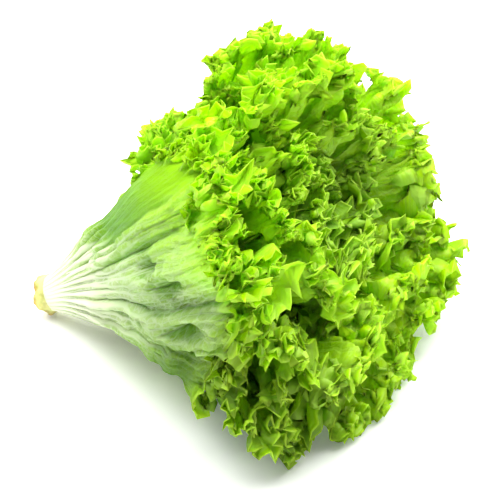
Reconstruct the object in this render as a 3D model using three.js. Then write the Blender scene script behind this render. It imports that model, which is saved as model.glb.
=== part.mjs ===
// A head of green leaf lettuce lying on its side, as cut and set down on a table.
// Millimetres, +Z up. The stem points to -X, the crown of leaves opens towards +X, and the head
// rests on z = 0. The origin is the centre of the head's bounding box, at the height of the table.
//
// Every leaf is a thin shell on its own funnel around the head's axis. The funnels are nested, one
// inside the next, so that no leaf passes through another.
import * as THREE from "three";
import { mergeVertices } from "three/addons/utils/BufferGeometryUtils.js";

const { lerp, degToRad, smoothstep } = THREE.MathUtils;

// The head as a whole
const LEAF_COUNT = 26;
const AXIS_TILT = degToRad(28); // how far the axis points up from the table
const CUT_HEIGHT = 12; // of the centre of the cut face above the table
const GOLDEN_ANGLE = degToRad(137.5); // from one leaf to the next, round the stem
const FIRST_AZIMUTH = degToRad(74); // where they start: 0 is up, 90 to the front, 180 down

// The outermost funnel: its radius at a distance along the axis from the cut face
const FUNNEL_START = 9;
const FUNNEL_RADIUS = 14.2;
const FUNNEL_SLOPE = Math.tan(degToRad(26));
const FLARE = 47; // what the flare at the crown adds to the radius at the full depth
const CROWN_DEPTH = 253;
const FLARE_POWER = 6;
const HEART_SHARE = 0.06; // of the outermost funnel's widening, that the innermost leaf has

// The heart grows off the axis, away from the front leaves
const HEART_SHIFT = { up: 12, back: 46 };

// The lower leaves sag to the table and lie on it
const SAG = 0.55;
const SAG_FROM = 35;
const SAG_TO = 170;
const UNDER_LEAF = 1; // which leaf lies on the table, counted from the outermost
const SETTLE_POWER = 12; // how sharply a leaf flattens where it meets the table
const PRESSED = 1; // a lower face nearer to the table than this lies flat on it

// The stem, a short cone with a rounded top
const STEM_RADIUS = 13;
const STEM_LENGTH = 82;
const STEM_TAPER = 1.6;
const CUT_BEVEL = 1.2;

// The leaves, from the outermost to the innermost
const FIRST_BASE = 9;
const LAST_BASE = 70;
const BASE_GAP = 0.35;
const OUTER_REACH = 206; // how far along the axis a leaf ends
const LONGEST_REACH = 238;
const INNER_REACH = 218;
const LONGEST_DEPTH = 0.4;
const OUTER_HALF_WIDTH = 88;
const INNER_HALF_WIDTH = 26;
const OUTER_BASE_HALF_WIDTH = 13;
const INNER_BASE_HALF_WIDTH = 3.5;
const MOST_WRAP = 1.9; // of half a leaf round the axis, in radians

const BLADE_THICKNESS = 0.8;
const OUTER_RIB_THICKNESS = 1.6; // what the midrib adds at the leaf's base
const INNER_RIB_THICKNESS = 0.3;
const RIB_FADE = 1.5; // how fast the midrib thins towards the tip
const RIB_HALF_WIDTH = 5;
const END_ROUNDING = 7; // a higher power makes the end of a leaf squarer
const TIP_CUT = 0.985; // where the blunt tip ends, as a share of the length
const SEGMENTS_ACROSS = 11;
const SEGMENTS_ALONG = 8;

const HEART_LEAVES = 6; // how many of the innermost leaves make the heart

// The outer leaves that the photograph shows apart, from the outermost in
const FIRST_LEAVES = [
  { name: "front_leaf", azimuth: degToRad(68), reach: 212, halfWidth: 100 },
  { name: "under_leaf", azimuth: degToRad(210), reach: 200, halfWidth: 88 },
  { name: "short_top_leaf", azimuth: degToRad(-12), reach: 140, halfWidth: 60 },
  { name: "low_front_leaf", azimuth: degToRad(127), reach: 200, halfWidth: 94 },
  { name: "tall_back_leaf", azimuth: degToRad(-32), reach: 216, halfWidth: 88 },
];

const LEAF_GREEN = 0x8fce1e;
const HEART_GREEN = 0xb4dc4a;
const STEM_CREAM = 0xe6e9b8;

function stemRadius(s) {
  return STEM_RADIUS * Math.max(0, 1 - (s / STEM_LENGTH) ** STEM_TAPER);
}

function outerFunnel(s) {
  const rise = s - FUNNEL_START;
  const share = Math.max(0, rise) / (CROWN_DEPTH - FUNNEL_START);
  return FUNNEL_RADIUS + FUNNEL_SLOPE * rise + FLARE * share ** FLARE_POWER;
}

// The radius of a leaf's own funnel at a distance along the axis
function funnel(leaf, s) {
  const start = stemRadius(leaf.base) + BASE_GAP + BLADE_THICKNESS / 2;
  return start + leaf.opening * (outerFunnel(s) - outerFunnel(leaf.base));
}

// The dimensions of a leaf by its depth, from 0 for the outermost to 1 for the innermost
function leafAt(depth) {
  const longest = depth < LONGEST_DEPTH ? depth / LONGEST_DEPTH : (1 - depth) / (1 - LONGEST_DEPTH);
  const end = depth < LONGEST_DEPTH ? OUTER_REACH : INNER_REACH;
  return {
    base: lerp(FIRST_BASE, LAST_BASE, depth),
    reach: lerp(end, LONGEST_REACH, Math.sin((Math.PI / 2) * longest)),
    opening: lerp(1, HEART_SHARE, depth),
    halfWidth: lerp(OUTER_HALF_WIDTH, INNER_HALF_WIDTH, depth ** 1.5),
    ribThickness: lerp(OUTER_RIB_THICKNESS, INNER_RIB_THICKNESS, depth),
    baseHalfWidth: lerp(OUTER_BASE_HALF_WIDTH, INNER_BASE_HALF_WIDTH, depth),
  };
}

const UNDER = leafAt(UNDER_LEAF / (LEAF_COUNT - 1));

// From the head's own coordinates to the table's, with the lower side settled on the table
function place(s, r, azimuth) {
  const height = CUT_HEIGHT + s * Math.sin(AXIS_TILT);
  const down = Math.max(0, -Math.cos(azimuth));
  const sag = 1 + SAG * down * smoothstep(s, SAG_FROM, SAG_TO);
  const lowest = funnel(UNDER, s) * sag * down * Math.cos(AXIS_TILT);
  const press = lowest / (height - BLADE_THICKNESS / 2);
  const settled = r * sag * (1 + press ** SETTLE_POWER) ** (-1 / SETTLE_POWER);
  const shift = smoothstep(s, STEM_LENGTH, CROWN_DEPTH) * (1 - r / outerFunnel(s));
  const up = settled * Math.cos(azimuth) + HEART_SHIFT.up * shift;
  return new THREE.Vector3(
    s * Math.cos(AXIS_TILT) - up * Math.sin(AXIS_TILT),
    HEART_SHIFT.back * shift - settled * Math.sin(azimuth),
    height + up * Math.cos(AXIS_TILT),
  );
}

// Half the leaf's width at a share of its length: a fan with a narrow base and a rounded end
function halfWidthAt(leaf, share) {
  const blade = share * Math.sqrt(1 - share ** END_ROUNDING);
  return leaf.baseHalfWidth * (1 - share) + leaf.halfWidth * blade;
}

function midPoint(leaf, across, share) {
  const s = lerp(leaf.base, leaf.reach, share);
  const r = funnel(leaf, s);
  const wrap = MOST_WRAP * Math.tanh(across / r / MOST_WRAP);
  return place(s, r, leaf.azimuth + wrap);
}

// A point on the leaf's outer face (side 1) or inner face (side -1)
function facePoint(leaf, across, share, side) {
  const middle = midPoint(leaf, across, share);
  const alongLeaf = midPoint(leaf, across, share + 0.01).sub(middle);
  const acrossLeaf = midPoint(leaf, across + 1, share).sub(middle);
  const outwards = acrossLeaf.cross(alongLeaf).normalize();
  const rib = leaf.ribThickness * (1 - share) ** RIB_FADE * Math.exp(-((across / RIB_HALF_WIDTH) ** 2));
  const offset = side > 0 ? BLADE_THICKNESS / 2 + rib : -BLADE_THICKNESS / 2;
  return middle.addScaledVector(outwards, offset);
}

// A leaf starts as a flat box of many cells and is bent to its place
function leafGeometry(leaf) {
  const box = new THREE.BoxGeometry(2, 1, 2, SEGMENTS_ACROSS, SEGMENTS_ALONG, 1);
  box.deleteAttribute("normal");
  box.deleteAttribute("uv");
  const geometry = mergeVertices(box);
  const corners = geometry.attributes.position;
  for (let i = 0; i < corners.count; i++) {
    const share = TIP_CUT * (corners.getY(i) + 0.5);
    const across = corners.getX(i) * halfWidthAt(leaf, share);
    const point = facePoint(leaf, across, share, corners.getZ(i));
    if (point.z < PRESSED) point.z = 0;
    corners.setXYZ(i, point.x, point.y, point.z);
  }
  geometry.computeVertexNormals();
  return geometry;
}

function stemGeometry() {
  const rounded = Array.from({ length: 12 }, (_, k) => {
    const s = CUT_BEVEL + (STEM_LENGTH - CUT_BEVEL) * Math.sin((Math.PI / 2) * (k / 12));
    return new THREE.Vector2(stemRadius(s), s);
  });
  const outline = [
    new THREE.Vector2(0, 0),
    new THREE.Vector2(STEM_RADIUS - CUT_BEVEL, 0),
    ...rounded,
    new THREE.Vector2(0, STEM_LENGTH),
  ];
  return new THREE.LatheGeometry(outline, 24);
}

function stem() {
  const mesh = new THREE.Mesh(
    stemGeometry(),
    new THREE.MeshStandardMaterial({ color: STEM_CREAM, roughness: 0.55, metalness: 0 }),
  );
  mesh.name = "stem";
  mesh.rotation.z = AXIS_TILT - Math.PI / 2;
  const upright = new THREE.Group();
  upright.add(mesh);
  upright.rotation.x = Math.PI / 2;
  upright.position.z = CUT_HEIGHT;
  return upright;
}

function leafMesh(index) {
  const depth = index / (LEAF_COUNT - 1);
  const kind = index < LEAF_COUNT - HEART_LEAVES ? "leaf" : "heart_leaf";
  const leaf = {
    name: `${kind}_${String(index + 1).padStart(2, "0")}`,
    ...leafAt(depth),
    azimuth: FIRST_AZIMUTH + index * GOLDEN_ANGLE,
    ...FIRST_LEAVES[index],
  };
  const color = new THREE.Color(LEAF_GREEN).lerp(new THREE.Color(HEART_GREEN), depth);
  const mesh = new THREE.Mesh(
    leafGeometry(leaf),
    new THREE.MeshStandardMaterial({ color, roughness: 0.45, metalness: 0 }),
  );
  mesh.name = leaf.name;
  return mesh;
}

const head = new THREE.Group();
head.add(stem());
for (let index = 0; index < LEAF_COUNT; index++) head.add(leafMesh(index));

head.updateMatrixWorld(true);
const bounds = new THREE.Box3().setFromObject(head, true);
const centre = bounds.getCenter(new THREE.Vector3());
head.position.set(-centre.x, -centre.y, -bounds.min.z);

export default head;
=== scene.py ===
# %% [markdown]
# # A head of green leaf lettuce
# The head lies on its side on a pale table. It has a short cut stem and a rosette of broad, thin
# leaves. The packed model already holds a plain shell for each leaf, in its right place. This
# lesson gives each leaf its ribs, its blisters and its frilled edge.

import math
from types import SimpleNamespace

import bmesh
import bpy
import numpy as np
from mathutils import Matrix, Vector


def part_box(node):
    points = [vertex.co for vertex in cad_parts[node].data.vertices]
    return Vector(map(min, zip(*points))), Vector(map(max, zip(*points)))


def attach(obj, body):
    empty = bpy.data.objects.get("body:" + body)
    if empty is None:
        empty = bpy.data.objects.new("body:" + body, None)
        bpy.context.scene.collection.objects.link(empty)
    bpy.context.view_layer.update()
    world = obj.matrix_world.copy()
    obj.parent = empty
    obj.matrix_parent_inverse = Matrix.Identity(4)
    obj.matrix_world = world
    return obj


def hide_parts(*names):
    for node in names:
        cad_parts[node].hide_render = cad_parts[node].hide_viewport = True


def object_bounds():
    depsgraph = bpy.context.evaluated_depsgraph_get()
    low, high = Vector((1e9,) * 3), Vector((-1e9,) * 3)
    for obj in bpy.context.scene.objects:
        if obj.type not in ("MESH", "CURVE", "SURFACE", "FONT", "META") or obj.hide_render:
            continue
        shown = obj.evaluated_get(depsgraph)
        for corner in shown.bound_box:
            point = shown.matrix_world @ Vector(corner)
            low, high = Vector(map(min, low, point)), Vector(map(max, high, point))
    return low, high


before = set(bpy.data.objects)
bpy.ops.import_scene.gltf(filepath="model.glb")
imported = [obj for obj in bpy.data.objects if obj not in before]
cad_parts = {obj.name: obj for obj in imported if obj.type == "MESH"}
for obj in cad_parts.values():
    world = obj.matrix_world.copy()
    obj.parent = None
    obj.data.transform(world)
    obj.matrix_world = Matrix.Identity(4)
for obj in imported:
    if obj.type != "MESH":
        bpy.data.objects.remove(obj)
cad_low, cad_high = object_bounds()
print("the plain model is", [round(1000 * v) for v in cad_high - cad_low], "mm")

# %% [markdown]
# ## Where each leaf grows
# Lettuce leaves climb the stem in a spiral, a golden angle apart, and each one wraps the ones
# after it. Each could be drawn as a free surface, but neighbours would soon cross. A funnel round
# the head's axis describes such a leaf well: its place along the axis and its radius are two
# numbers, and nested funnels never cross. The sizes are in millimetres, as in the model.

# %% Sizes of the head
LEAF_COUNT, HEART_LEAVES = 26, 6
AXIS_TILT = math.radians(28)
CUT_HEIGHT = 12.0
GOLDEN_ANGLE = 137.5
FIRST_AZIMUTH = 74.0
STEM_RADIUS, STEM_LENGTH, CUT_BEVEL = 13.0, 82.0, 1.2
BLADE = 0.8
BASE_GAP = 0.35

# %% The outer leaves that the photograph shows apart
NAMED = {
    0: dict(name="front_leaf", azimuth=68, reach=212, half_width=100),
    1: dict(name="under_leaf", azimuth=210, reach=200, half_width=88),
    2: dict(name="short_top_leaf", azimuth=-23, reach=145, half_width=46),
    3: dict(name="low_front_leaf", azimuth=128, reach=200, half_width=94),
    4: dict(name="tall_back_leaf", azimuth=-33, reach=216, half_width=76),
}


# %% Sums that come up again and again
def lerp(a, b, share):
    return a + (b - a) * share


def smooth(value, start, end):
    """0 before start, 1 after end, and a smooth step between."""
    share = np.clip((value - start) / (end - start), 0.0, 1.0)
    return share * share * (3.0 - 2.0 * share)


def hump(value, centre, width):
    """1 at the centre, and almost 0 from twice the width away."""
    return np.exp(-(((value - centre) / width) ** 2))


# %% The stem's cone and the funnels round it
FUNNEL_START = 9.0
FUNNEL_RADIUS = 14.2
FUNNEL_SLOPE = math.tan(math.radians(26))
FLARE = 47.0
CROWN_DEPTH = 253.0


def stem_radius(s):
    return STEM_RADIUS * np.maximum(0.0, 1.0 - (s / STEM_LENGTH) ** 1.6)


def outer_funnel(s):
    """The radius of the outermost funnel at a distance s along the axis."""
    rise = s - FUNNEL_START
    flare = FLARE * (np.maximum(rise, 0.0) / (CROWN_DEPTH - FUNNEL_START)) ** 6
    return FUNNEL_RADIUS + FUNNEL_SLOPE * rise + flare


def funnel(leaf, s):
    """The radius of a leaf's own funnel."""
    start = stem_radius(leaf.base) + BASE_GAP + BLADE / 2
    return start + leaf.opening * (outer_funnel(s) - outer_funnel(leaf.base))


print("200 mm along the axis the funnel is", round(float(outer_funnel(200.0))), "mm in radius")

# %% One description for each leaf
LOWEST_BASE, HIGHEST_BASE = 9.0, 70.0
OUTER_REACH, LONGEST_REACH, HEART_REACH = 206.0, 238.0, 218.0
LONGEST_AT = 0.4
OUTER_HALF_WIDTH, HEART_HALF_WIDTH = 88.0, 26.0
OUTER_FOOT, HEART_FOOT = 13.0, 3.5
HEART_SHARE = 0.06


def leaf_at(index):
    """A leaf's place in the spiral. Its depth is 0 for the outermost leaf and 1 for the last."""
    depth = index / (LEAF_COUNT - 1)
    outwards = depth < LONGEST_AT
    longest = depth / LONGEST_AT if outwards else (1 - depth) / (1 - LONGEST_AT)
    shortest_reach = OUTER_REACH if outwards else HEART_REACH
    kind = "leaf" if index < LEAF_COUNT - HEART_LEAVES else "heart_leaf"
    leaf = SimpleNamespace(
        name=f"{kind}_{index + 1:02d}",
        index=index,
        depth=depth,
        base=lerp(LOWEST_BASE, HIGHEST_BASE, depth),
        reach=lerp(shortest_reach, LONGEST_REACH, math.sin(math.pi / 2 * longest)),
        opening=lerp(1.0, HEART_SHARE, depth),
        half_width=lerp(OUTER_HALF_WIDTH, HEART_HALF_WIDTH, depth**1.5),
        base_half_width=lerp(OUTER_FOOT, HEART_FOOT, depth),
        azimuth=FIRST_AZIMUTH + index * GOLDEN_ANGLE,
    )
    vars(leaf).update(NAMED.get(index, {}))
    leaf.azimuth = math.radians(leaf.azimuth)
    leaf.length = leaf.reach - leaf.base
    return leaf


LEAVES = [leaf_at(index) for index in range(LEAF_COUNT)]
FRONT, UNDER, SHORT_TOP, LOW_FRONT, TALL_BACK = LEAVES[: len(NAMED)]
print(len(LEAVES), "leaves, the longest", round(max(x.length for x in LEAVES)), "mm")

# %% [markdown]
# ## How the head lies
# The head could be modelled upright and turned at the end. But it is soft, and its weight changes
# its shape: the lower leaves sag, and the table presses them flat. So each place is worked out
# round the axis first, and one function then lays it down and presses it on the table.

# %% From the head's axis to the table
SAG, SAG_FROM, SAG_TO = 0.55, 35.0, 170.0
PRESS_SHARPNESS = 12
HEART_UP, HEART_BACK = 12.0, 46.0

stem_low = Vector((-(STEM_RADIUS - CUT_BEVEL) * math.sin(AXIS_TILT), 0.0, 0.0))
stem_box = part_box("stem")
SHIFT_X = 1000 * stem_box[0].x - stem_low.x
SHIFT_Y = 500 * (stem_box[0].y + stem_box[1].y)


def place(points):
    """From (along the axis, up, to the front) to the table, where the lower leaves settle."""
    s = points[..., 0]
    r = np.hypot(points[..., 1], points[..., 2])
    azimuth = np.arctan2(points[..., 2], points[..., 1])
    height = CUT_HEIGHT + s * math.sin(AXIS_TILT)
    down = np.maximum(0.0, -np.cos(azimuth))
    sag = 1 + SAG * down * smooth(s, SAG_FROM, SAG_TO)
    press = funnel(UNDER, s) * sag * down * math.cos(AXIS_TILT) / (height - BLADE / 2)
    settled = r * sag * (1 + press**PRESS_SHARPNESS) ** (-1 / PRESS_SHARPNESS)
    shift = smooth(s, STEM_LENGTH, CROWN_DEPTH) * (1 - r / outer_funnel(s))
    up = settled * np.cos(azimuth) + HEART_UP * shift
    x = s * math.cos(AXIS_TILT) - up * math.sin(AXIS_TILT) + SHIFT_X
    y = HEART_BACK * shift - settled * np.sin(azimuth) + SHIFT_Y
    z = height + up * math.cos(AXIS_TILT)
    return np.stack([x, y, z], -1)


print("the middle of the cut is at", [round(v) for v in place(np.zeros(3))], "mm")

# %% [markdown]
# ## A flat leaf
# Picked and pressed flat, a leaf is a fan: a narrow white foot, ribs that spread from it, and a
# rounded end. So a leaf is drawn along its ribs. One number, a, runs across, from the left side
# at -1 over the midrib at 0 to the right side at 1. The other, rho, runs along each rib, from 0 at
# the foot to 1 at the edge. Rows lie close together near the edge, where the frill needs them.

# %% Rows of a leaf
EDGE_STEP = 1.25
STEP_GROWTH = 1.2


def row_places(length, longest_step):
    """Shares of the way from the foot to the edge, with short steps at the edge."""
    places, step = [0.0], EDGE_STEP
    while places[-1] + 1.5 * step < length:
        places.append(places[-1] + step)
        step = min(step * STEP_GROWTH, longest_step)
    return 1.0 - np.array([length] + places[::-1]) / length


print("a leaf of 200 mm has", len(row_places(200.0, 8.0)), "rows")

# %% A fan, and the fan wrapped on its funnel
FAN_MIDDLE = 0.64
WAIST_WIDTH, WAIST_AT = 0.22, 0.42
FOOT_RISE = 2.0
MOST_WRAP = 1.9
CLEAR_OF_STEM = 0.5


def flat_fan(leaf, rho, a):
    """The flat leaf: across and along, in millimetres, on a grid of rows and columns."""
    rho, a = rho[:, None], a[None, :]
    turn = a * math.radians(leaf.fan)
    edge_x = leaf.half_width * leaf.breadth * np.sin(turn)
    middle = FAN_MIDDLE * leaf.length
    edge_y = middle + (leaf.length - middle) * np.cos(turn)
    bend_x = a * (leaf.base_half_width + WAIST_WIDTH * leaf.half_width)
    bend_y = WAIST_AT * leaf.length
    foot = (1 - rho) ** 2
    bend = 2 * rho * (1 - rho)
    x = foot * a * leaf.base_half_width + bend * bend_x + rho**2 * edge_x
    y = bend * bend_y + rho**2 * edge_y + FOOT_RISE * foot**2
    return x, y


def on_funnel(leaf, x, y):
    """The flat leaf wrapped on its funnel: along the axis, up and to the front."""
    s = leaf.base + y
    r = np.maximum(funnel(leaf, s), stem_radius(np.maximum(s, 0.0)) + CLEAR_OF_STEM)
    azimuth = leaf.azimuth + MOST_WRAP * np.tanh(x / r / MOST_WRAP)
    return np.stack([s, r * np.cos(azimuth), r * np.sin(azimuth)], -1)


# %% [markdown]
# ## The frill
# The edge of a lettuce leaf grows faster than the rest, so it has too much length for its place
# and it buckles, in waves on waves. A cloth simulation could buckle it, but it is slow and hard
# to steer. Instead each size of wave is put on the last, square to the sheet that the last one
# left: big folds first, then curls that stand on the folds, then small crimps.

# %% Directions on a sheet
def directions(sheet):
    """Unit vectors across the leaf, along its ribs and out of it, at each point of the grid."""
    across = np.gradient(sheet, axis=1)
    along = np.gradient(sheet, axis=0)
    out = np.cross(across, along)
    return [v / (np.linalg.norm(v, axis=-1, keepdims=True) + 1e-9) for v in (across, along, out)]


def edge_length(sheet):
    """How far each column is along the leaf's edge."""
    steps = np.linalg.norm(np.diff(sheet[-1], axis=0), axis=-1)
    return np.concatenate([[0.0], np.cumsum(steps)])


# %% Smooth noise
NOISE_SPREAD = 0.6


def wander(rng, distance, size):
    """Smooth noise along a line, mostly from -1 to 1, that changes over about size."""
    knots = rng.normal(0.0, NOISE_SPREAD, int(distance.max() / size) + 3)
    at = distance / size
    low = np.floor(at).astype(int)
    share = smooth(at - low, 0.0, 1.0)
    return lerp(knots[low], knots[low + 1], share)


def patches(rng, x, y, size):
    """Smooth noise over a surface, that changes over about size."""
    x, y = (x - x.min()) / size, (y - y.min()) / size
    knots = rng.normal(0.0, NOISE_SPREAD, (int(x.max()) + 3, int(y.max()) + 3))
    i, j = np.floor(x).astype(int), np.floor(y).astype(int)
    u, v = smooth(x - i, 0.0, 1.0), smooth(y - j, 0.0, 1.0)
    near = lerp(knots[i, j], knots[i + 1, j], u)
    far = lerp(knots[i, j + 1], knots[i + 1, j + 1], u)
    return lerp(near, far, v)


# %% Waves on a leaf's edge
# A wave's height moves the blade out of its sheet, its loop moves it across, so that the wave
# leans over, and its fold pulls the edge back where the wave is high.
FRILLS = (
    dict(length=58, reach=110, height=9.0, loop=0.0, fold=0.9),
    dict(length=16, reach=32, height=6.8, loop=3.0, fold=0.9),
    dict(length=8.0, reach=24, height=4.0, loop=1.7, fold=0.4),
    dict(length=4.4, reach=8, height=1.8, loop=0.5, fold=0.2),
)
BIG_FRILLS = 2


def frill(sheet, depth, strength, rng, length, reach, height, loop, fold):
    """Adds one size of wave, strongest at the edge and gone at a depth of reach."""
    across, along, out = directions(sheet)
    edge = edge_length(sheet)
    phase = 2 * math.pi * edge / length + 1.5 * wander(rng, edge, 1.3 * length)
    size = strength * np.clip(0.9 + 0.4 * wander(rng, edge, 1.7 * length), 0.3, 1.5)
    fade = (1 - smooth(depth, -0.3 * reach, reach))[..., None]
    wave = (np.sin(phase) * size)[None, :, None]
    lean = (np.sin(2 * phase) * size)[None, :, None]
    sheet = sheet + out * height * fade * wave
    sheet = sheet - across * loop * fade**1.5 * lean
    return sheet - along * fold * height * fade**2 * wave**2


def resized(wave, size, reach):
    """The same wave in another size, and with its own share of the reach."""
    scaled = {key: wave[key] * size for key in ("length", "height", "loop")}
    return {**wave, **scaled, "reach": wave["reach"] * reach}


print("the frill has waves of", [wave["length"] for wave in FRILLS], "mm")

# %% Lumps near the edge
# Each size of lump has its length, how deep it goes and its height.
CRUMPLES = ((16.0, 62.0, 8.0), (8.0, 44.0, 4.0))


def crumple(sheet, depth, strength, rng, size, reach, height):
    """Swells the blade near the edge in lumps as long as they are wide."""
    out = directions(sheet)[2]
    edge = np.broadcast_to(edge_length(sheet), depth.shape)
    lumps = patches(rng, edge, depth, size) * strength
    fade = 1 - smooth(depth, 0.3 * reach, reach)
    return sheet + out * (height * lumps * fade)[..., None]


# %% Lobes and teeth of the edge
LOBE_LENGTH, LOBE_HEIGHT = 8.0, 4.2
# Each size of tooth has its length along the edge, its height and how deep it bends the blade.
TEETH = ((10.5, 4.4, 10.0), (4.0, 2.8, 4.5), (2.4, 1.1, 2.4))
TOOTH_MIDDLE = 0.4


def teeth(sheet, depth, strength, rng):
    """Cuts the edge into lobes and small teeth."""
    along = directions(sheet)[1]
    edge = edge_length(sheet)
    lobes = LOBE_HEIGHT * strength * wander(rng, edge, LOBE_LENGTH)
    sheet = sheet + along * ((1 - smooth(depth, 0.0, 4 * LOBE_HEIGHT)) * lobes)[..., None]
    for length, height, reach in TEETH:
        at = edge / length + 0.7 * wander(rng, edge, 1.6 * length)
        tooth = 1 - 2 * np.abs(at - np.round(at))
        size = strength * np.clip(0.8 + 0.5 * wander(rng, edge, 2.0 * length), 0.1, 1.5)
        fade = 1 - smooth(depth, 0.0, reach)
        sheet = sheet + along * (fade * height * size * (tooth**1.5 - TOOTH_MIDDLE))[..., None]
    return sheet


# %% [markdown]
# ## Leaves lie on each other
# Inside the head, a leaf is pressed between its neighbours. Where another leaf's calm middle
# covers it, it may only use the room up to halfway between the two funnels. Near the edges the
# leaves are free, as the frills of a real head are.

# %% How far the edge bends out
BEND_FROM = -20.0


def edge_bend(leaf, depth):
    """How far the outer part of a leaf bends away from its funnel."""
    return leaf.curl * (1 - smooth(depth, BEND_FROM, leaf.curl_reach)) ** 1.5


# %% Room between neighbours
LEAF_GAP = 0.3
FREE_ROOM, NO_LIMIT = 60.0, 900.0
COVERED_WIDTH, COVERED_FADE = 0.8, 0.18


def covered_by(other, s, azimuth):
    """The other leaf's radius at each point, and 1 where its calm middle covers the point."""
    share = np.clip((s - other.base) / other.length, 0.0, 1.0)
    radius = funnel(other, s) + edge_bend(other, (1 - share) * other.length)
    turn = np.abs((azimuth - other.azimuth + math.pi) % (2 * math.pi) - math.pi)
    half = other.base_half_width * (1 - share) + COVERED_WIDTH * other.half_width * share
    sides = 1 - smooth(turn * radius / half, 0.75, 1.0)
    return radius, sides * (1 - smooth(share, other.cover - COVERED_FADE, other.cover))


def keep_apart(leaf, sheet):
    """Moves the leaf in or out where it would cross a neighbour that covers it."""
    s = sheet[..., 0]
    r = np.hypot(sheet[..., 1], sheet[..., 2])
    azimuth = np.arctan2(sheet[..., 2], sheet[..., 1])
    share = np.clip((s - leaf.base) / leaf.length, 0.0, 1.0)
    own = funnel(leaf, s) + edge_bend(leaf, (1 - share) * leaf.length)
    low, high = np.zeros_like(r), np.full_like(r, 1e3)
    for other in LEAVES:
        if other is leaf:
            continue
        radius, covered = covered_by(other, s, azimuth)
        halfway = (own + radius) / 2
        free = NO_LIMIT * (covered <= 0)
        if other.index < leaf.index:
            high = np.minimum(high, lerp(own + FREE_ROOM, halfway - LEAF_GAP, covered) + free)
        else:
            low = np.maximum(low, lerp(own - FREE_ROOM, halfway + LEAF_GAP, covered) - free)
    kept = np.clip(r, np.maximum(low, 0.5), np.maximum(high, 1.0))
    scale = kept / np.maximum(r, 1e-6)
    return np.stack([s, sheet[..., 1] * scale, sheet[..., 2] * scale], -1)


# %% [markdown]
# ## Ribs
# White ribs leave the foot side by side, spread and fork. They stand out on the back of the
# leaf. Separate tubes could be laid on the blade, but a real rib grows out of it without a seam.
# So the blade itself rises near a rib, and swells a little between ribs.

# %% Where the ribs are
RIBS = 5.5
RIB_WANDER, RIB_WANDER_SIZE = 0.25, 24.0
# How far along a leaf, as a share, the ribs fork for the first and the second time.
FORKS = ((0.22, 0.5), (0.45, 0.75))


def rib_distance(number, rho, spacing):
    """Millimetres to the nearest rib or fork of a rib."""
    between = number - np.floor(number)
    nearest = np.minimum(between, 1 - between)
    for start, end in FORKS:
        fork = 0.5 * smooth(rho, start, end)
        nearest = np.minimum(nearest, np.abs(between - fork))
        between = 2 * between - np.floor(2 * between)
    return nearest * spacing


def find_ribs(shape, rng):
    """Counts the ribs across the leaf, and measures how far each point is from one."""
    step = np.hypot(np.gradient(shape.x, axis=1), np.gradient(shape.y, axis=1))
    straight = np.sign(shape.a) * RIBS * np.abs(shape.a) ** 0.85
    shape.number = straight[None, :] + RIB_WANDER * patches(rng, shape.x, shape.y, RIB_WANDER_SIZE)
    shape.spacing = step / np.maximum(np.gradient(straight), 1e-6)[None, :]
    shape.nearest = rib_distance(shape.number, shape.rho[:, None], shape.spacing)


# %% Raise the ribs
RIB_WIDTH, RIB_HEIGHT = 1.5, 1.5
SWELL_WIDTH = 2.5


def ribs_on(leaf, shape, sheet):
    """Raises the ribs on the back and lets the blade swell between them."""
    out = directions(sheet)[2]
    ridge = hump(shape.nearest, 0.0, RIB_WIDTH)
    height = RIB_HEIGHT * leaf.rib_height * (1 - smooth(shape.rho, 0.1, 0.95))[:, None]
    height = height * lerp(0.3, 1.0, smooth(shape.rho, 0.04, 0.3))[:, None]
    swell = smooth(shape.rho, 0.15, 0.5)[:, None] * (1 - hump(shape.nearest, 0.0, SWELL_WIDTH))
    rise = (height * ridge + leaf.swell * swell) * (1 - 0.7 * shape.calm)
    return sheet + out * rise[..., None]


# %% [markdown]
# ## Blisters, folds and wrinkles
# Between the ribs the thin blade is a little too large as well, so it swells in blisters. The
# front leaf was also pressed: it has long folds, a broad bulge with hollows in it, and at its
# left a calm lobe that stays smooth. What is low is remembered as relief, because the finish
# paints shade into the hollows.

# %% Start the shape of a leaf
FRILL_ALLOWANCE = 1.08
LOBE_SIDE, LOBE_FROM = (0.3, 0.46), (0.4, 0.55)


def start_shape(leaf):
    """The grid of the flat leaf, how deep each point is, and where the calm lobe is."""
    length = FRILL_ALLOWANCE * leaf.length
    rho = row_places(length, leaf.longest_step)
    a = np.linspace(-1.0, 1.0, leaf.columns + 1)
    x, y = flat_fan(leaf, rho, a)
    shape = SimpleNamespace(rho=rho, a=a, x=x, y=y, relief=np.zeros_like(x))
    shape.depth = (1 - rho)[:, None] * length * np.ones_like(a)[None, :]
    shape.calm = leaf.lobe * smooth(-a, *LOBE_SIDE)[None, :] * smooth(rho, *LOBE_FROM)[:, None]
    shape.lively = 1 - 0.85 * shape.calm
    return shape


# %% Blisters and bulges
BLISTER_SIZE, BLISTER_STRETCH = 12.0, 1.7
BEND_FADES = (0.4, 0.9)


def blistered(leaf, shape, sheet, rng):
    """Bends the edge out and swells the blade in blisters and bulges."""
    bumps = patches(rng, shape.x, shape.y / BLISTER_STRETCH, BLISTER_SIZE)
    bumps = bumps + 0.5 * patches(rng, shape.x, shape.y, BLISTER_SIZE / 2)
    bumps = bumps * shape.lively * smooth(shape.rho, 0.15, 0.5)[:, None]
    shape.relief += leaf.swell * bumps
    bend = edge_bend(leaf, shape.depth)
    bend = bend * (1 - leaf.calm_sides * smooth(np.abs(shape.a), *BEND_FADES))
    for at_a, at_rho, wide, long, height in leaf.bulges:
        bulge = hump(shape.a, at_a, wide)[None, :] * hump(shape.rho, at_rho, long)[:, None]
        bend = bend + height * bulge
        shape.relief += height * bulge * (height < 0)
    return sheet + shape.out * (bend + leaf.swell * bumps)[..., None]


# %% Folds and wrinkles
# Low relief gets painted shade in the finish. A fold adds this share of its height to the relief.
FOLD_SHADE = 0.35
WRINKLE_SPACING, WRINKLE_PATCH = 5.5, 25.0


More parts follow.
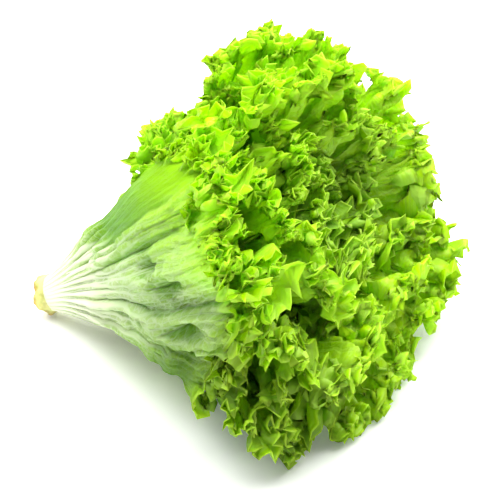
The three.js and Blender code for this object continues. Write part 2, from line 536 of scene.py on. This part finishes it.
def creased(leaf, shape, sheet, rng):
    """Adds long folds, then wrinkles that run along the ribs."""
    for centre, width, height in leaf.folds:
        ridge = hump(shape.a, centre, width)[None, :] * smooth(shape.rho, 0.3, 1.0)[:, None]
        sheet = sheet + shape.out * (height * ridge)[..., None]
        shape.relief += FOLD_SHADE * height * ridge
    if leaf.wrinkles:
        creases = wander(rng, 100 * (shape.a + 1), WRINKLE_SPACING)
        fade = smooth(shape.rho, 0.12, 0.45) * (1 - 0.6 * smooth(shape.rho, 0.8, 1.0))
        uneven = 1 + 0.5 * patches(rng, shape.x, shape.y, WRINKLE_PATCH)
        wrinkle = leaf.wrinkles * (creases[None, :] * fade[:, None]) * uneven * shape.lively
        sheet = sheet + shape.out * wrinkle[..., None]
        shape.relief += wrinkle
    return sheet


# %% The shape of one leaf
SEED = 100
FRILL_FADES = (0.7, 1.0)
ABOVE_TABLE = 0.35


def leaf_shape(leaf):
    """Every point of one leaf in its place on the table."""
    rng = np.random.default_rng(SEED + leaf.index)
    shape = start_shape(leaf)
    sheet = on_funnel(leaf, shape.x, shape.y)
    shape.out = directions(sheet)[2]
    sheet = blistered(leaf, shape, sheet, rng)
    sheet = creased(leaf, shape, sheet, rng)
    strength = 1 - leaf.calm_sides * smooth(np.abs(shape.a), *FRILL_FADES)
    for wave in FRILLS[leaf.first_frill : BIG_FRILLS]:
        wave = resized(wave, leaf.frill, leaf.frill_reach)
        sheet = frill(sheet, shape.depth, strength * leaf.ruffle, rng, **wave)
    for size, reach, height in CRUMPLES:
        reach = reach * leaf.frill_reach
        sheet = crumple(sheet, shape.depth, strength * leaf.ruffle, rng, size, reach, height)
    find_ribs(shape, rng)
    sheet = ribs_on(leaf, shape, sheet)
    for wave in FRILLS[BIG_FRILLS:]:
        sheet = frill(sheet, shape.depth, strength, rng, **wave)
    sheet = teeth(sheet, shape.depth, strength, rng)
    shape.points = place(keep_apart(leaf, sheet))
    shape.points[..., 2] = np.maximum(shape.points[..., 2], ABOVE_TABLE)
    return shape


# %% [markdown]
# ## From numbers to a mesh
# The mesh starts as a flat grid from one operator. Its edges near the leaf's margin are cut in
# two, and at the very margin in two again, so the small faces are only where the frill is. Then
# each vertex moves to its place on the leaf.

# %% A grid that is finer near the edge
FINE_BAND, MIDDLE_BAND = 9.0, 30.0


def corners(mesh):
    """The places of a mesh's vertices, as rows of three numbers."""
    co = np.empty(len(mesh.vertices) * 3)
    mesh.vertices.foreach_get("co", co)
    return co.reshape(-1, 3)


def leaf_mesh(leaf, shape):
    """The leaf's mesh, and the row and column of the shape that each vertex took its place from."""
    rows, columns = len(shape.rho), leaf.columns
    bm = bmesh.new()
    bmesh.ops.create_grid(bm, x_segments=columns // 4, y_segments=rows - 1, size=0.5)
    bmesh.ops.translate(bm, verts=bm.verts, vec=(0.5, 0.5, 0.0))
    bmesh.ops.scale(bm, verts=bm.verts, vec=(columns, rows - 1, 1.0))
    for band in (MIDDLE_BAND, FINE_BAND):
        first = int(np.argmax(shape.depth[:, 0] < band))
        crossing = [
            e
            for e in bm.edges
            if abs(e.verts[0].co.y - e.verts[1].co.y) < 0.1 and e.verts[0].co.y > first - 0.5
        ]
        bmesh.ops.subdivide_edges(bm, edges=crossing, cuts=1)
    mesh = bpy.data.meshes.new(leaf.name)
    bm.to_mesh(mesh)
    bm.free()
    co = corners(mesh)
    column, row = np.round(co[:, 0]).astype(int), np.round(co[:, 1]).astype(int)
    mesh.vertices.foreach_set("co", (shape.points[row, column] / 1000).ravel())
    return mesh, row, column


# %% Numbers that the finish will read
SHEEN_AT, SHEEN_WIDTH = 0.25, 0.5
# Heights and depths, in millimetres, over which the painted shade of the lower front and the
# painted light of the top fade in.
LOW_Z, LOW_Y, HIGH_Z = (30.0, 150.0), (-90.0, 20.0), (110.0, 190.0)


def store(mesh, name, values):
    mesh.attributes.new(name, "FLOAT", "POINT").data.foreach_set("value", values)


def store_leaf_numbers(leaf, shape, mesh, row, column):
    """Keeps on each vertex where it is on the leaf, and how pale, calm, low and high it is."""
    grids = dict(
        across=shape.x,
        along=shape.y,
        depth=shape.depth,
        rib=shape.number,
        spacing=shape.spacing,
        relief=shape.relief,
        calm=shape.calm,
    )
    for name, grid in grids.items():
        store(mesh, name, grid[row, column])
    store(mesh, "share", shape.rho[row])
    store(mesh, "pale", leaf.sheen * hump(shape.a[column], SHEEN_AT, SHEEN_WIDTH))
    y, z = shape.points[row, column, 1], shape.points[row, column, 2]
    # Low marks where the lower front gets painted shade, high where the top gets painted light.
    store(mesh, "low", (1 - smooth(z, *LOW_Z)) * (1 - smooth(y, *LOW_Y)))
    store(mesh, "high", smooth(z, *HIGH_Z))
    store(mesh, "inner", np.full(len(row), leaf.inner))
    store(mesh, "heart", np.full(len(row), leaf.heart))


# %% Build one leaf
BLADE_SHARE = 0.16


def thicken(piece, leaf, shape, row):
    """A thick foot that thins to the blade. Its very end is thin again, where it joins the stem."""
    thick = BLADE_SHARE + (1 - BLADE_SHARE) * (1 - smooth(shape.rho, 0.0, 0.35)) ** 1.5
    thick = thick * lerp(0.25, 1.0, smooth(shape.rho, 0.0, 0.05))
    group = piece.vertex_groups.new(name="thickness")
    for number, value in enumerate(thick[row]):
        group.add([number], value, "REPLACE")
    solid = piece.modifiers.new("Thickness", "SOLIDIFY")
    solid.vertex_group = "thickness"
    solid.thickness = leaf.foot_thickness / 1000
    solid.offset = -1.0
    solid.material_offset = 1


def build_leaf(leaf):
    shape = leaf_shape(leaf)
    mesh, row, column = leaf_mesh(leaf, shape)
    store_leaf_numbers(leaf, shape, mesh, row, column)
    mesh.shade_smooth()
    mesh.update()
    piece = bpy.data.objects.new(f"{leaf.name}_blade", mesh)
    bpy.context.scene.collection.objects.link(piece)
    thicken(piece, leaf, shape, row)
    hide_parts(leaf.name)
    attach(piece, "root")
    return piece


# %% [markdown]
# ## What the photograph shows of each leaf
# A formula alone gives a head that is too even. In the photograph some leaves curl out further,
# reach further or lie turned, so each one that shows gets its own numbers. The rest follow the
# formula.

# %% How each leaf lies
# How far its edge bends out and how much further it reaches, in millimetres, how far it is turned
# round the head, in degrees, and how much wider it is than its plain shell.
AS_SEEN = {
    "front_leaf": dict(curl=-22.0, turn=-1.5, stretch=20.0),
    "short_top_leaf": dict(curl=28.0, turn=2.0, stretch=8.0),
    "low_front_leaf": dict(curl=4.0, turn=-5.0),
    "tall_back_leaf": dict(curl=24.0, turn=1.5, stretch=10.0),
    "leaf_07": dict(curl=15.0, stretch=2.0, wider=1.05),
    "leaf_08": dict(curl=12.0, stretch=4.0),
    "leaf_10": dict(curl=17.0, turn=-16.5, stretch=8.0, wider=1.15),
    "leaf_11": dict(curl=8.0),
    "leaf_13": dict(curl=27.0, turn=-5.5, stretch=22.0, wider=1.2),
    "leaf_15": dict(curl=14.0, stretch=14.0, wider=1.2),
    "leaf_16": dict(curl=16.0, stretch=22.0, wider=1.2),
    "leaf_17": dict(stretch=8.0),
    "leaf_18": dict(curl=14.0, stretch=24.0, wider=1.2),
    "leaf_19": dict(stretch=8.0),
    "leaf_20": dict(stretch=8.0),
    "heart_leaf_21": dict(curl=8.0, turn=-3.0, stretch=22.0),
    "heart_leaf_22": dict(stretch=6.0),
    "heart_leaf_23": dict(stretch=6.0),
    "heart_leaf_24": dict(stretch=4.0),
}

# %% Settings of every leaf
BREADTH = 0.85
MIDDLE_CURL, INNER_CURL, FIRST_INNER = 6.0, 4.0, 8
MOST_COLUMNS, FEWEST_COLUMNS = 206, 97

for leaf in LEAVES:
    seen = AS_SEEN.get(leaf.name, {})
    wider = seen.get("wider", 1.0)
    leaf.azimuth += math.radians(seen.get("turn", 0.0))
    leaf.length += seen.get("stretch", 0.0)
    leaf.curl = seen.get("curl", MIDDLE_CURL if leaf.index < FIRST_INNER else INNER_CURL)
    leaf.curl_reach = 80.0
    leaf.fan = 100.0
    leaf.breadth = BREADTH * wider
    leaf.ruffle = 1.15 if wider > 1.1 else 1.0
    leaf.frill = lerp(1.0, 0.7, leaf.depth)
    leaf.frill_reach = 1.0
    leaf.first_frill = 0
    leaf.cover = 0.9
    leaf.columns = 4 * int(lerp(MOST_COLUMNS, FEWEST_COLUMNS, leaf.depth))
    leaf.inner = min(1.0, max(0.0, (leaf.index - 3) / 5))
    leaf.heart = min(1.0, max(0.0, (leaf.index - 15) / 8))
    leaf.sheen, leaf.lobe = 0.0, 0.0
    leaf.folds, leaf.bulges = (), ()

for leaf in LEAVES[: len(NAMED)]:
    vars(leaf).update(wrinkles=0.9, swell=0.9, rib_height=1.0, foot_thickness=2.4)
    vars(leaf).update(longest_step=3.0, calm_sides=0.85)
for leaf in LEAVES[len(NAMED) :]:
    vars(leaf).update(wrinkles=0.0, swell=0.6, rib_height=0.6, foot_thickness=1.6)
    vars(leaf).update(longest_step=8.0, calm_sides=0.4)

# %% The front leaf
# It has only a narrow frill at its edge, and its middle is pale and deeply wrinkled.
vars(FRONT).update(sheen=1.0, lobe=1.0, cover=1.0, wrinkles=2.6, swell=2.4, rib_height=1.3)
vars(FRONT).update(first_frill=1, frill=0.8, frill_reach=0.4)
# Each bulge has its middle across and along, its width and length as shares, and its height.
FRONT.bulges = (
    (-0.62, 0.72, 0.24, 0.2, 3.0),
    (0.2, 0.72, 0.32, 0.16, 9.0),
    (-0.02, 0.7, 0.05, 0.045, -11.0),
    (0.1, 0.78, 0.05, 0.04, -13.0),
    (0.4, 0.8, 0.06, 0.05, -13.0),
    (0.5, 0.66, 0.04, 0.05, -8.0),
)
# Each fold runs along the ribs, and has its place across, its width and its height.
FRONT.folds = (
    (-0.3, 0.05, 4.0),
    (-0.22, 0.07, -5.0),
    (0.04, 0.09, 6.0),
    (0.24, 0.11, -7.0),
    (0.44, 0.09, 5.0),
    (0.64, 0.1, -6.0),
)

# %% The other outer leaves
vars(LOW_FRONT).update(frill_reach=0.75)
vars(TALL_BACK).update(calm_sides=0.95, fan=84.0)
vars(SHORT_TOP).update(calm_sides=1.0, fan=72.0, curl_reach=42.0)
vars(UNDER).update(longest_step=5.0, columns=640)

pieces = [build_leaf(leaf) for leaf in LEAVES]
faces = sum(len(piece.data.polygons) for piece in pieces)
print("leaves made with", faces, "faces a side")

# %% [markdown]
# ## The finish of a leaf
# A lettuce leaf is thin and wet, so light comes through it. That is why the frill glows yellow
# green where light falls on it from behind. Subsurface scattering is slow and suits thick flesh
# better, so the shader mixes a glossy skin with a translucent one. The sums of the shader are
# written as Python, so that they can be read.

# %% Shader sums written as Python
def linear(*srgb):
    """A colour as it is seen, 0 to 255, as the light values a shader needs."""
    share = [v / 255 for v in srgb]
    return (*[v / 12.92 if v <= 0.04045 else ((v + 0.055) / 1.055) ** 2.4 for v in share], 1.0)


class Value:
    """A number in a shader. Arithmetic on it adds Math nodes."""

    def __init__(self, finish, socket):
        self.finish, self.socket = finish, socket

    def maths(self, operation, *values):
        return self.finish.node("ShaderNodeMath", {"operation": operation}, dict(enumerate(values)))

    def __add__(self, other):
        return self.maths("ADD", self, other)

    def __sub__(self, other):
        return self.maths("SUBTRACT", self, other)

    def __mul__(self, other):
        return self.maths("MULTIPLY", self, other)

    def __truediv__(self, other):
        return self.maths("DIVIDE", self, other)

    def __rsub__(self, other):
        return self.maths("SUBTRACT", other, self)

    def __abs__(self):
        return self.maths("ABSOLUTE", self)

    __radd__ = __add__
    __rmul__ = __mul__

    def least(self, other):
        return self.maths("MINIMUM", self, other)

    def most(self, other):
        return self.maths("MAXIMUM", self, other)

    def part(self):
        return self.maths("FRACT", self)

    def step(self, start, end, low=0.0, high=1.0):
        """A smooth step from low at start to high at end."""
        settings = {"interpolation_type": "SMOOTHSTEP"}
        inputs = {"Value": self, "From Min": start, "From Max": end, "To Min": low, "To Max": high}
        return self.finish.node("ShaderNodeMapRange", settings, inputs)


class Finish:
    """The nodes of a material or of the world."""

    def __init__(self, tree):
        self.tree = tree

    def node(self, kind, settings=None, inputs=None, output=0):
        """Adds a node, sets its settings and its inputs, and returns one of its outputs."""
        made = self.tree.nodes.new(kind)
        for name, value in (settings or {}).items():
            setattr(made, name, value)
        for name, value in (inputs or {}).items():
            self.join(value, made.inputs[name])
        return Value(self, made.outputs[output]) if made.outputs else None

    def join(self, value, socket):
        if isinstance(value, Value):
            self.tree.links.new(value.socket, socket)
        else:
            socket.default_value = value

    def stored(self, name):
        return self.node("ShaderNodeAttribute", {"attribute_name": name}, output=2)

    def mix(self, share, low, high):
        settings = {"data_type": "RGBA"}
        return self.node("ShaderNodeMix", settings, {0: share, 6: low, 7: high}, output=2)


def material_from(name, shader_of):
    """A new material whose surface is the shader that the function makes."""
    material = bpy.data.materials.new(name)
    material.use_nodes = True
    material.node_tree.nodes.clear()
    finish = Finish(material.node_tree)
    finish.node("ShaderNodeOutputMaterial", {}, {"Surface": shader_of(finish)})
    return material


# %% [markdown]
# ## Ribs, veins and spots in the finish
# The white of a rib has to lie on the raised rib, so the finish counts ribs with the same sums as
# the mesh, from numbers kept on each vertex. Between the ribs runs a net of small veins, which is
# drawn as the borders of cells.

# %% Marks on a leaf
VEIN_CELL, FINE_CELL = 4.5, 1.9
CELL_STRETCH = 1.5


def on_leaf(finish, at, across, along):
    """Where a point is on the flat leaf, counted in spots of a size in millimetres."""
    spots = {0: at.across / across, 1: at.along / along}
    return finish.node("ShaderNodeCombineXYZ", {}, spots)


def noise(finish, where, detail, scale=1.0):
    inputs = {"Vector": where, "Scale": scale, "Detail": detail}
    return finish.node("ShaderNodeTexNoise", {}, inputs)


def rib_marks(at):
    """1 on a rib, 0 between ribs."""
    between = at.rib.part()
    nearest = between.least(1 - between)
    for start, end in FORKS:
        nearest = nearest.least(abs(between - 0.5 * at.share.step(start, end)))
        between = (between * 2).part()
    width = at.share.step(0.0, 0.95, 1.5, 0.6)
    return 1 - (nearest * at.spacing / width).step(0.45, 1.2)


def vein_marks(finish, at, size):
    """1 on the net of small veins, 0 in its cells."""
    where = on_leaf(finish, at, size, CELL_STRETCH * size)
    bent = finish.node("ShaderNodeTexNoise", {}, {"Vector": where, "Scale": 1.2}, output=1)
    where = finish.node("ShaderNodeVectorMath", {"operation": "ADD"}, {0: where, 1: bent})
    cells = finish.node(
        "ShaderNodeTexVoronoi", {"feature": "DISTANCE_TO_EDGE"}, {"Vector": where, "Scale": 1.0}
    )
    return 1 - cells.step(0.02, 0.13)


# %% [markdown]
# ## Colour of a leaf
# The colour runs from the white foot over the middle of the blade to the yellow green edge. The
# pressed middle of the front leaf is whitish and matt, with painted shade in its hollows and a
# vivid green lobe. The heart leaves and the recesses of the lower front get a deep green painted
# shade, the lower frills a painted shade that is partly their own more olive green, and the top a
# painted light. A thin bright rim follows the very edge.

# %% The colours
FOOT_WHITE = linear(214, 232, 168)
RIB_WHITE = linear(242, 248, 218)
# Painted shade for the hollows of the relief.
PAINTED_HOLLOW_SHADE = linear(52, 112, 14)
GLOW = linear(218, 252, 50)
RIM = linear(214, 248, 74)
LOBE_GREEN = linear(112, 172, 0)
LOBE_SHADE = linear(78, 138, 0)
# Painted shade, deep green, for the heart and for the recesses of the lower front.
PAINTED_DEEP_SHADE = linear(26, 106, 0)
# Painted shade for the lower frills, partly their own more olive green.
OLIVE_AND_SHADE_GREEN = linear(84, 146, 16)
# Painted light for the top of the head.
PAINTED_TOP_LIGHT = linear(206, 255, 30)
MIDDLE_GREEN = linear(150, 194, 48)
INNER_GREEN = linear(106, 186, 10)
PRESSED_WHITE = linear(204, 220, 156)
BACK_EDGE, FRONT_EDGE = linear(204, 240, 66), linear(206, 246, 18)
STREAK_WIDTH, STREAK_LENGTH = 3.0, 16.0
print("the edge is", [round(v, 2) for v in BACK_EDGE[:3]], "on the back, as light values")


# %% Colour between the ribs
def blade_colour(finish, at, middle, edge, pressed):
    """From the foot over the middle to the edge, with the pressed middle and the calm lobe."""
    share, pale, calm = at.share, at.pale, at.calm
    streaks = noise(finish, on_leaf(finish, at, STREAK_WIDTH, STREAK_LENGTH), 3.0)
    middle = finish.mix(at.inner, middle, INNER_GREEN)
    colour = finish.mix(share.step(0.08, 0.5), FOOT_WHITE, middle)
    colour = finish.mix(pale * share.step(0.15, 0.4), colour, pressed)
    # Painted shade: the low parts of the relief turn dark green.
    shade_in_hollows = at.relief.step(0.6, -3.0) * share.step(0.1, 0.3) * 0.8 * (1 - calm)
    colour = finish.mix(shade_in_hollows, colour, PAINTED_HOLLOW_SHADE)
    lobe = finish.mix(streaks.step(0.42, 0.62), LOBE_SHADE, LOBE_GREEN)
    colour = finish.mix(calm * 0.92, colour, lobe)
    # Painted shade in the heart: its leaves are deep green up to near their edge.
    colour = finish.mix(at.heart * share.step(0.94, 0.8), colour, PAINTED_DEEP_SHADE)
    to_edge = share.step(0.45, 0.9) * (1 - 0.7 * pale) * (1 - 0.8 * calm) * (1 - 0.6 * at.heart)
    colour = finish.mix(to_edge, colour, edge)
    streaked = pale * share.step(0.2, 0.4) * streaks.step(0.42, 0.7, 0.0, 0.6)
    return finish.mix(streaked, colour, RIB_WHITE)


# %% Colour of ribs, painted shade and light, and rim
def marked_colour(finish, at, colour, ribs, veins, fine):
    """Adds white ribs and veins, painted shade on the lower front, painted light on the top, and
    the rim.
    """
    share, pale = at.share, at.pale
    marks = (ribs * share.step(0.6, 1.0, 1.0, 0.5)).most((0.5 + 0.4 * pale) * veins)
    marks = marks.most(0.35 * fine) * (1 - 0.9 * at.calm) * (1 - 0.4 * at.inner)
    whiteness = share.step(0.45, 1.0, 0.95, 0.25).most(0.8 * pale)
    colour = finish.mix(marks * whiteness, colour, RIB_WHITE)
    # Painted shade on the frills of the lower front, partly their own more olive green.
    colour = finish.mix(0.6 * at.low_frill, colour, OLIVE_AND_SHADE_GREEN)
    # Painted shade: the recesses of the lower front turn deep green.
    recess_shade = at.low * share.step(0.6, 0.75) * share.step(0.97, 0.84) * (1 - pale)
    colour = finish.mix(0.8 * recess_shade, colour, PAINTED_DEEP_SHADE)
    # Painted light: the top of the head is lighter.
    colour = finish.mix(0.6 * at.high * share.step(0.5, 0.8), colour, PAINTED_TOP_LIGHT)
    rim = 1 - at.depth.step(0.3, 1.7)
    return finish.mix(rim * (0.6 - 0.35 * at.heart), colour, RIM)


# %% Small relief
CRINKLE_WIDTH, CRINKLE_LENGTH = 2.6, 3.4
RELIEF_HEIGHT = 0.0006


def small_relief(finish, at, ribs, veins, side):
    """Crinkles and veins too small for the mesh. They rise on one face and sink on the other."""
    crinkles = noise(finish, on_leaf(finish, at, CRINKLE_WIDTH, CRINKLE_LENGTH), 2.0)
    crinkles = crinkles * at.share.step(0.4, 0.75, 0.5, 5.5) * (1 - at.calm)
    height = side * ribs + 0.5 * side * veins + side * crinkles
    inputs = {"Height": height, "Distance": RELIEF_HEIGHT, "Strength": 0.5}
    return finish.node("ShaderNodeBump", {}, inputs)


# %% The skin and the glow
STORED = "across along share depth rib spacing relief calm pale low high inner heart".split()
LEAF_IOR, LEAF_GLOSS = 1.4, 0.3


def leaf_shader(finish, middle, edge, pressed, roughness, side):
    at = SimpleNamespace(**{name: finish.stored(name) for name in STORED})
    at.pale = at.pale * (1 - at.calm) * at.share.step(0.97, 0.88)
    # The frills of the lower front get painted shade, partly their own more olive green, and let
    # less light through.
    at.low_frill = at.low * at.share.step(0.5, 0.8) * (1 - at.pale)
    ribs = rib_marks(at)
    veins = vein_marks(finish, at, VEIN_CELL) * at.share.step(0.15, 0.4)
    fine = vein_marks(finish, at, FINE_CELL)
    colour = blade_colour(finish, at, middle, edge, pressed)
    colour = marked_colour(finish, at, colour, ribs, veins, fine)
    normal = small_relief(finish, at, ribs, veins, side)
    look = {"Base Color": colour, "Roughness": roughness, "Normal": normal}
    gloss = {"IOR": LEAF_IOR, "Specular IOR Level": LEAF_GLOSS}
    skin = finish.node("ShaderNodeBsdfPrincipled", {}, {**look, **gloss})
    glow = finish.node("ShaderNodeBsdfTranslucent", {}, {"Color": GLOW, "Normal": normal})
    through = at.share.step(0.1, 0.7, 0.12, 0.54) * (1 - 0.5 * at.heart)
    through = through * (1 - 0.35 * at.low_frill)
    return finish.node("ShaderNodeMixShader", {}, {0: through, 1: skin, 2: glow})


# %% The two faces of a leaf
def back_shader(finish):
    return leaf_shader(finish, MIDDLE_GREEN, BACK_EDGE, PRESSED_WHITE, 0.42, 1.0)


def front_shader(finish):
    return leaf_shader(finish, INNER_GREEN, FRONT_EDGE, INNER_GREEN, 0.34, -1.0)


leaf_back = material_from("leaf back", back_shader)
leaf_front = material_from("leaf front", front_shader)
for piece in pieces:
    piece.data.materials.append(leaf_back)
    piece.data.materials.append(leaf_front)
print("the leaf's back has", len(leaf_back.node_tree.nodes), "nodes")

# %% [markdown]
# ## The stem
# The stem was cut across. Its wet face has dried to a yellow brown, darkest at the rim. The scars
# of lost leaves make its side knobbly, and one big scar shows at the lower front. A cone could be
# carved with a cutting tool, but rings that grow from the cut's rim give an even mesh, which
# then takes the knobs by moving its vertices.

# %% Rings of the stem
STEM_SIDES = 96
STEM_STEPS = (0.35, 1.0, 2.0, 3.2, 4.6, 6.2, 8.0, 10.0, 14.0, 22.0, 36.0, 56.0, 74.0)
FACE_RINGS = (0.86, 0.7, 0.52, 0.34, 0.16)
FACE_DISH, FACE_HEIGHT = 0.5, 0.3


def grow(bm, ring, radius, height):
    """Extrudes a ring of edges to a new radius and height round the bmesh's Z axis."""
    made = bmesh.ops.extrude_edge_only(bm, edges=ring)["geom"]
    verts = [g for g in made if isinstance(g, bmesh.types.BMVert)]
    old = math.hypot(verts[0].co.x, verts[0].co.y)
    bmesh.ops.scale(bm, verts=verts, vec=(radius / old, radius / old, 1.0))
    bmesh.ops.translate(bm, verts=verts, vec=(0.0, 0.0, height - verts[0].co.z))
    return [g for g in made if isinstance(g, bmesh.types.BMEdge)]


def smooth_stem():
    """The cut face with a shallow dish in it, and the cone up to its tip inside the head."""
    cut_radius = STEM_RADIUS - CUT_BEVEL
    bm = bmesh.new()
    bmesh.ops.create_circle(bm, segments=STEM_SIDES, radius=cut_radius)
    rim = list(bm.edges)
    ring = rim
    for share in FACE_RINGS:
        ring = grow(bm, ring, share * cut_radius, FACE_DISH * (share - 1) + FACE_HEIGHT)
    bmesh.ops.contextual_create(bm, geom=ring)
    ring = rim
    for s in STEM_STEPS:
        bevel = CUT_BEVEL * (1 - min(1.0, s)) ** 2
        ring = grow(bm, ring, float(stem_radius(s)) - bevel, s)
    bmesh.ops.contextual_create(bm, geom=ring)
    return bm


# %% Knobs and scars
KNOBBLY_LENGTH = 14.0
SCAR_TURN, SCAR_HEIGHT = -2.5, 3.0
SCAR_WIDTH, SCAR_STAIN_WIDTH = 0.3, 0.4
SCAR_RISE = 0.12


def knobs(turn, z):
    """How much the side swells: scars of leaves, each a short way round the stem."""
    low = 0.07 * math.sin(3 * turn + 0.6) + 0.05 * math.sin(5 * turn + 2.1 + 0.3 * z)
    fine = 0.03 * math.sin(9 * turn - 0.5 * z) + 0.02 * math.sin(17 * turn + 0.9 * z)
    return low + fine


def scar(turn, z, width):
    """1 in the middle of the big scar and 0 away from it."""
    return hump(turn, SCAR_TURN, width) * hump(z, SCAR_HEIGHT, SCAR_HEIGHT)


def roughen(bm):
    """Knobs on the side, and a cut face that is wavy at its rim and grainy all over."""
    for vert in bm.verts:
        x, y, z = vert.co
        near = 1 - min(1.0, z / KNOBBLY_LENGTH)
        turn = math.atan2(y, x)
        vert.co.xy *= 1 + near * knobs(turn, z) + SCAR_RISE * scar(turn, z, SCAR_WIDTH)
        rim_share = math.hypot(x, y) / STEM_RADIUS
        waves = 1.1 * math.sin(2 * turn + 0.4) + 0.7 * math.sin(5 * turn)
        grain = math.sin(31 * x / STEM_RADIUS) * math.cos(27 * y / STEM_RADIUS)
        vert.co.z += near * rim_share**3 * waves
        vert.co.z += 0.25 * near * grain


# %% Build the stem
CUT_DEPTH = (0.3, 2.2)
RIM_SHARE = (0.6, 0.95)


def build_stem():
    bm = smooth_stem()
    roughen(bm)
    bmesh.ops.recalc_face_normals(bm, faces=bm.faces)
    mesh = bpy.data.meshes.new("stem")
    bm.to_mesh(mesh)
    bm.free()
    x, y, z = corners(mesh).T
    face = 1 - smooth(z, *CUT_DEPTH)
    store(mesh, "face", face)
    store(mesh, "rim", face * smooth(np.hypot(x, y) / STEM_RADIUS, *RIM_SHARE))
    store(mesh, "scar", scar(np.arctan2(y, x), z, SCAR_STAIN_WIDTH))
    placed = place(np.stack([z, x, -y], -1))
    mesh.vertices.foreach_set("co", (placed / 1000).ravel())
    mesh.shade_smooth()
    mesh.update()
    piece = bpy.data.objects.new("stem_flesh", mesh)
    bpy.context.scene.collection.objects.link(piece)
    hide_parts("stem")
    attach(piece, "root")
    return piece


stem = build_stem()
print("stem made with", len(stem.data.polygons), "faces")

# %% [markdown]
# ## The finish of the stem
# The side is pale green with darker blots. The cut is yellower, and the rim and the big scar have
# dried brown. The flesh lets a little light in, so some subsurface light softens it.

# %% The stem's colours
SIDE_PALE, SIDE_GREEN = linear(208, 216, 136), linear(166, 176, 80)
CUT_PALE, CUT_YELLOW = linear(214, 214, 110), linear(186, 180, 78)
SCAR_BROWN, RIM_BROWN = linear(164, 140, 76), linear(150, 122, 52)
GRAINS_PER_METRE, BLOTS_PER_METRE = 420.0, 110.0


def stem_shader(finish):
    where = finish.node("ShaderNodeTexCoord", output=3)
    grain = noise(finish, where, 4.0, GRAINS_PER_METRE)
    blots = noise(finish, where, 3.0, BLOTS_PER_METRE)
    side = finish.mix(blots.step(0.4, 0.65), SIDE_PALE, SIDE_GREEN)
    cut = finish.mix(blots.step(0.35, 0.65), CUT_PALE, CUT_YELLOW)
    colour = finish.mix(finish.stored("face"), side, cut)
    colour = finish.mix(finish.stored("scar") * 0.8, colour, SCAR_BROWN)
    dried = finish.stored("rim") * blots.step(0.35, 0.6, 0.25, 0.9)
    colour = finish.mix(dried, colour, RIM_BROWN)
    bump = {"Height": grain, "Distance": 0.0008, "Strength": 0.5}
    normal = finish.node("ShaderNodeBump", {}, bump)
    look = {"Base Color": colour, "Roughness": 0.5, "Normal": normal, "Subsurface Weight": 0.2}
    return finish.node("ShaderNodeBsdfPrincipled", {}, look)


stem.data.materials.append(material_from("stem flesh", stem_shader))

# %% [markdown]
# ## Table and light
# The light of the photograph is soft. The table is a large plane, which glows a little so that it
# stays white round a soft shadow. The sky is brightest overhead and behind the head, and two
# softboxes, above and behind, make the frill glow.

# %% The table
FLOOR_SIZE = 8


def floor_shader(finish):
    look = {"Base Color": (0.95, 0.95, 0.95, 1.0), "Roughness": 0.6}
    glow = {"Emission Color": (1.0, 1.0, 1.0, 1.0), "Emission Strength": 0.12}
    return finish.node("ShaderNodeBsdfPrincipled", {}, {**look, **glow})


bpy.ops.mesh.primitive_plane_add(size=FLOOR_SIZE)
floor = bpy.context.object
floor.name = "floor"
floor.data.materials.append(material_from("floor", floor_shader))

# %% The sky
world = bpy.data.worlds.new("studio")
bpy.context.scene.world = world
world.use_nodes = True
sky = Finish(world.node_tree)
direction = sky.node("ShaderNodeTexCoord", output=0)
overhead = sky.node("ShaderNodeSeparateXYZ", {}, {0: direction}, output=2)
behind = sky.node("ShaderNodeSeparateXYZ", {}, {0: direction}, output=1)
strength = overhead.step(0.0, 0.9, 0.65, 7.2) * behind.step(-1.0, 1.0, 0.85, 1.55)
sky.join(strength, world.node_tree.nodes["Background"].inputs["Strength"])

# %% The softboxes
LIT_SPOT = (0, 0, 0.1)


def softbox(name, spot, size, power):
    """A square lamp that hangs at a spot, in metres, and points at the head."""
    light = bpy.data.lights.new(name, "AREA")
    light.size = size
    light.energy = power
    lamp = bpy.data.objects.new(name, light)
    lamp.location = spot
    lamp.rotation_euler = (Vector(LIT_SPOT) - Vector(spot)).to_track_quat("-Z", "Y").to_euler()
    bpy.context.scene.collection.objects.link(lamp)


softbox("key", (-0.42, -0.15, 1.4), 1.3, 38)
softbox("back", (0.3, 0.9, 1.1), 1.4, 44)
print("two softboxes and a sky light the head")

# %% [markdown]
# ## The camera
# The camera looks down on the head from the front and a little from the right. Its aim follows
# from where the cut end of the stem is in the picture.

# %% Aim the camera
CAMERA_AZIMUTH, CAMERA_ELEVATION = math.radians(24), math.radians(34)
CAMERA_DISTANCE = 1.4
PICTURE = 500
CUT_IN_PICTURE = (43, 293)
PIXELS_PER_METRE = 1600
SENSOR = 36.0

level = math.cos(CAMERA_ELEVATION)
to_camera = Vector(
    (
        math.sin(CAMERA_AZIMUTH) * level,
        -math.cos(CAMERA_AZIMUTH) * level,
        math.sin(CAMERA_ELEVATION),
    )
)
picture_right = Vector((math.cos(CAMERA_AZIMUTH), math.sin(CAMERA_AZIMUTH), 0.0))
picture_up = to_camera.cross(picture_right)
middle = (cad_low + cad_high) / 2
cut = Vector((SHIFT_X, SHIFT_Y, CUT_HEIGHT)) / 1000 - middle
nearness = CAMERA_DISTANCE / (CAMERA_DISTANCE - cut.dot(to_camera))
middle_x = CUT_IN_PICTURE[0] - PIXELS_PER_METRE * cut.dot(picture_right) * nearness
middle_y = CUT_IN_PICTURE[1] + PIXELS_PER_METRE * cut.dot(picture_up) * nearness
aim = middle + picture_right * ((PICTURE / 2 - middle_x) / PIXELS_PER_METRE)
aim = aim + picture_up * ((middle_y - PICTURE / 2) / PIXELS_PER_METRE)

camera_data = bpy.data.cameras.new("camera")
camera_data.lens = CAMERA_DISTANCE * PIXELS_PER_METRE * SENSOR / PICTURE
camera = bpy.data.objects.new("camera", camera_data)
bpy.context.scene.collection.objects.link(camera)
camera.location = aim + CAMERA_DISTANCE * to_camera
camera.rotation_euler = to_camera.to_track_quat("Z", "Y").to_euler()
bpy.context.scene.camera = camera
bpy.context.scene.view_settings.view_transform = "Standard"
print("the lens is", round(camera_data.lens), "mm")

# %% [markdown]
